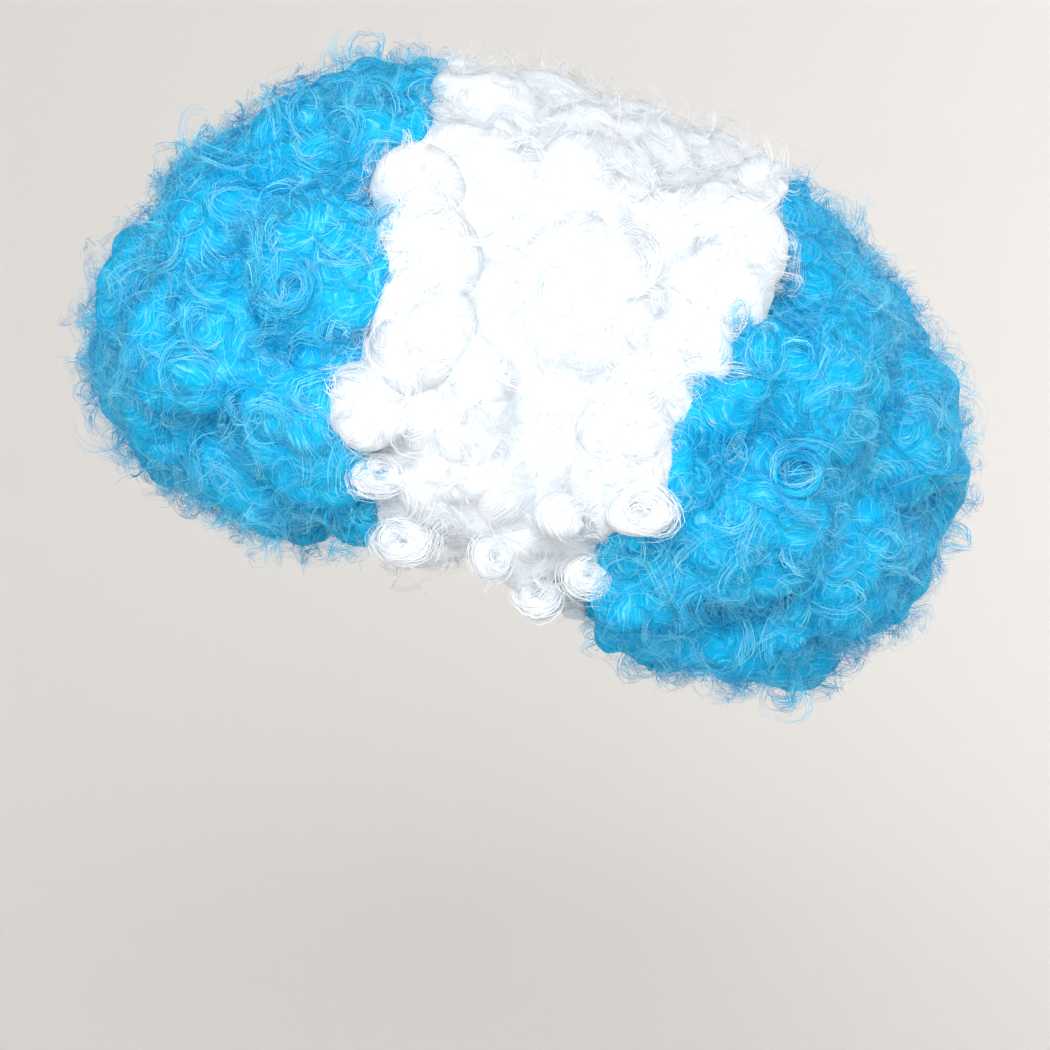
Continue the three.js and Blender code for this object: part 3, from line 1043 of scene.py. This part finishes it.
class WIG_OT_tangle(bpy.types.Operator):
    """Make the loose curls that lie between the ringlets, on lobes and round the way into the cap"""

    bl_idname = "wig.tangle"
    bl_label = "Tangle"

    def execute(self, context):
        sizes = context.scene.wig_sizes
        for number, band in enumerate(BANDS):
            rng = np.random.default_rng(TANGLE_SEED + number)
            outer, wall = skin_of(band, sizes.thinning)
            count = sizes.tangle_strands
            seat, normal = scatter_on(outer, TANGLE_TRIES * count, rng)
            chosen = near_other_bands(band, seat, sizes) | (np.arange(len(seat)) % TANGLE_SPARSE == 0)
            seat, normal = seat[chosen][:count], normal[chosen][:count]
            if len(wall[2]):
                inner, inner_normal = scatter_on(wall, count // WALL_SHARE, rng)
                seat = np.concatenate([seat, inner - inner_normal * WALL_DEPTH])
                normal = np.concatenate([normal, inner_normal])
            on_skin = len(seat)
            # A lobe is as frizzy as the hair round it
            ringlets = ringlets_of(band)
            for index in np.flatnonzero(ringlets["thick"] == LOBE):
                out = unit(rng.normal(size=(LOBE_CURLS, 3)) + ringlets["axis"][index])
                spots = ringlets["eye"][index] + LOBE_CURL_SEAT * ringlets["radius"][index] * out
                seat = np.concatenate([seat, spots])
                normal = np.concatenate([normal, out])
            count = len(seat)
            small = np.where(np.arange(count) < on_skin, 1, LOBE_CURL_SIZE)
            axis = turned_to(unit(rng.normal(size=(count, 3)) + TANGLE_LEAN * normal), normal)
            centre = seat + normal * rng.uniform(0.0, TANGLE_LIFT, (count, 1))
            radius = sizes.ringlet_radius * small * rng.uniform(*TANGLE_RADIUS, count)
            add_loose_curls(f"tangle_{band}", band, TANGLE, centre, axis, normal, radius, rng)
        return {"FINISHED"}


class WIG_OT_strays(bpy.types.Operator):
    """Make the single strands that stand off the outline"""

    bl_idname = "wig.strays"
    bl_label = "Strays"

    def execute(self, context):
        count = context.scene.wig_sizes.stray_strands
        for number, band in enumerate(BANDS):
            rng = np.random.default_rng(STRAY_SEED + number)
            outer, _ = skin_of(band, STRAY_THINNING)
            seat, normal = scatter_on(outer, count, rng)
            axis = turned_to(unit(rng.normal(size=(count, 3))), normal)
            least, more = STRAY_RADIUS
            radius = least + more * rng.uniform(0, 1, count) ** 2
            centre = seat - normal * (radius * rng.uniform(*STRAY_SUNK, count))[:, None]
            add_loose_curls(f"strays_{band}", band, STRAYS, centre, axis, normal, radius, rng)
        return {"FINISHED"}


class WIG_OT_cap(bpy.types.Operator):
    """Finish the net cap and its elastic edge"""

    bl_idname = "wig.cap"
    bl_label = "Cap and elastic"

    def execute(self, context):
        look = context.scene.wig_cap
        for node, material in (
            ("cap_net", knitted_nylon_net(look)),
            ("rim_elastic", woven_elastic(look)),
        ):
            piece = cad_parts[node]
            for slot in piece.material_slots:
                slot.link = "OBJECT"
                slot.material = material
        return {"FINISHED"}


class WIG_OT_stage(bpy.types.Operator):
    """Set up the paper, the lamps and the camera"""

    bl_idname = "wig.stage"
    bl_label = "Studio"

    def paper(self, look):
        """A floor that sweeps up into a backdrop all round."""
        floor = -look.floor_drop
        outline = [(PAPER_FLAT, floor)]
        for step in range(1, PAPER_STEPS + 1):
            turn = math.pi / 2 * step / PAPER_STEPS
            far = PAPER_FLAT + PAPER_BEND * math.sin(turn)
            outline.append((far, floor + PAPER_BEND * (1 - math.cos(turn))))
        outline.append((PAPER_FLAT + PAPER_BEND, PAPER_TOP))
        points = [(0.0, 0.0, floor)]
        for far, up in outline:
            for side in range(PAPER_SIDES):
                turn = 2 * math.pi * side / PAPER_SIDES
                points.append((far * math.cos(turn), far * math.sin(turn), up))
        faces = [(0, 1 + side, 1 + (side + 1) % PAPER_SIDES) for side in range(PAPER_SIDES)]
        for ring in range(len(outline) - 1):
            here, there = 1 + ring * PAPER_SIDES, 1 + (ring + 1) * PAPER_SIDES
            for side in range(PAPER_SIDES):
                after = (side + 1) % PAPER_SIDES
                faces.append((here + side, there + side, there + after, here + after))
        mesh = bpy.data.meshes.new("paper")
        mesh.from_pydata(points, [], faces)
        mesh.polygons.foreach_set("use_smooth", np.ones(len(faces), bool))
        mesh.materials.append(seamless_paper(look))
        paper = bpy.data.objects.new("paper", mesh)
        bpy.context.scene.collection.objects.link(paper)

    def lamp(self, name, place, aim, size, power):
        """A square softbox at place that shines at aim."""
        data = bpy.data.lights.new(name, "AREA")
        data.shape = "SQUARE"
        data.size = size
        data.energy = power
        lamp = bpy.data.objects.new(name, data)
        lamp.location = place
        lamp.rotation_euler = (Vector(aim) - Vector(place)).to_track_quat("-Z", "Y").to_euler()
        bpy.context.scene.collection.objects.link(lamp)

    def execute(self, context):
        look = context.scene.wig_stage
        scene = context.scene
        self.paper(look)
        for name, row in LAMPS.items():
            self.lamp(name, power=getattr(look, name + "_power"), **row)
        world = bpy.data.worlds.new("room")
        world.use_nodes = True
        world.node_tree.nodes.clear()
        sky = add(
            world.node_tree,
            "ShaderNodeBackground",
            {"Color": linear(ROOM_COLOUR), "Strength": look.sky},
        )
        add(world.node_tree, "ShaderNodeOutputWorld", {"Surface": sky.outputs[0]})
        scene.world = world
        scene.view_settings.view_transform = "Standard"

        data = bpy.data.cameras.new("camera")
        data.sensor_width = 36
        data.lens = data.sensor_width * look.camera_distance / look.frame_width
        camera = bpy.data.objects.new("camera", data)
        camera.location = (look.camera_distance, look.aim_back, look.aim_up)
        camera.rotation_euler = (math.pi / 2, 0, math.pi / 2)
        scene.collection.objects.link(camera)
        scene.camera = camera
        return {"FINISHED"}


class WIG_PT_panel(bpy.types.Panel):
    """Lists the wig's pieces and their sizes and colours"""

    bl_label = "Curly Wig"
    bl_idname = "WIG_PT_panel"
    bl_space_type = "VIEW_3D"
    bl_region_type = "UI"
    bl_category = "Curly Wig"

    def draw(self, context):
        for operator in OPERATORS:
            self.layout.operator(operator.bl_idname)
        for group in GROUPS:
            settings = getattr(context.scene, group)
            box = self.layout.box()
            for name in settings.bl_rna.properties.keys():
                if name not in ("rna_type", "name"):
                    box.prop(settings, name)


GROUPS = {
    "wig_sizes": HairSizes,
    "wig_colours": HairColours,
    "wig_cap": CapLook,
    "wig_stage": StageLook,
}
OPERATORS = (
    WIG_OT_stage,
    WIG_OT_cap,
    WIG_OT_hair_bodies,
    WIG_OT_ringlets,
    WIG_OT_tangle,
    WIG_OT_strays,
)


def register():
    """Makes the classes and the scene's settings known."""
    for made in (*GROUPS.values(), *OPERATORS, WIG_PT_panel):
        bpy.utils.register_class(made)
    for name, group in GROUPS.items():
        setattr(bpy.types.Scene, name, PointerProperty(type=group))


def unregister():
    """Takes back what register made known."""
    for name in GROUPS:
        delattr(bpy.types.Scene, name)
    for made in reversed((*GROUPS.values(), *OPERATORS, WIG_PT_panel)):
        bpy.utils.unregister_class(made)


def main():
    """Builds the wig's looks."""
    register()
    bpy.ops.wig.stage()
    bpy.ops.wig.cap()
    bpy.ops.wig.hair_bodies()
    bpy.ops.wig.ringlets()
    bpy.ops.wig.tangle()
    bpy.ops.wig.strays()


if __name__ == "__main__":
    main()
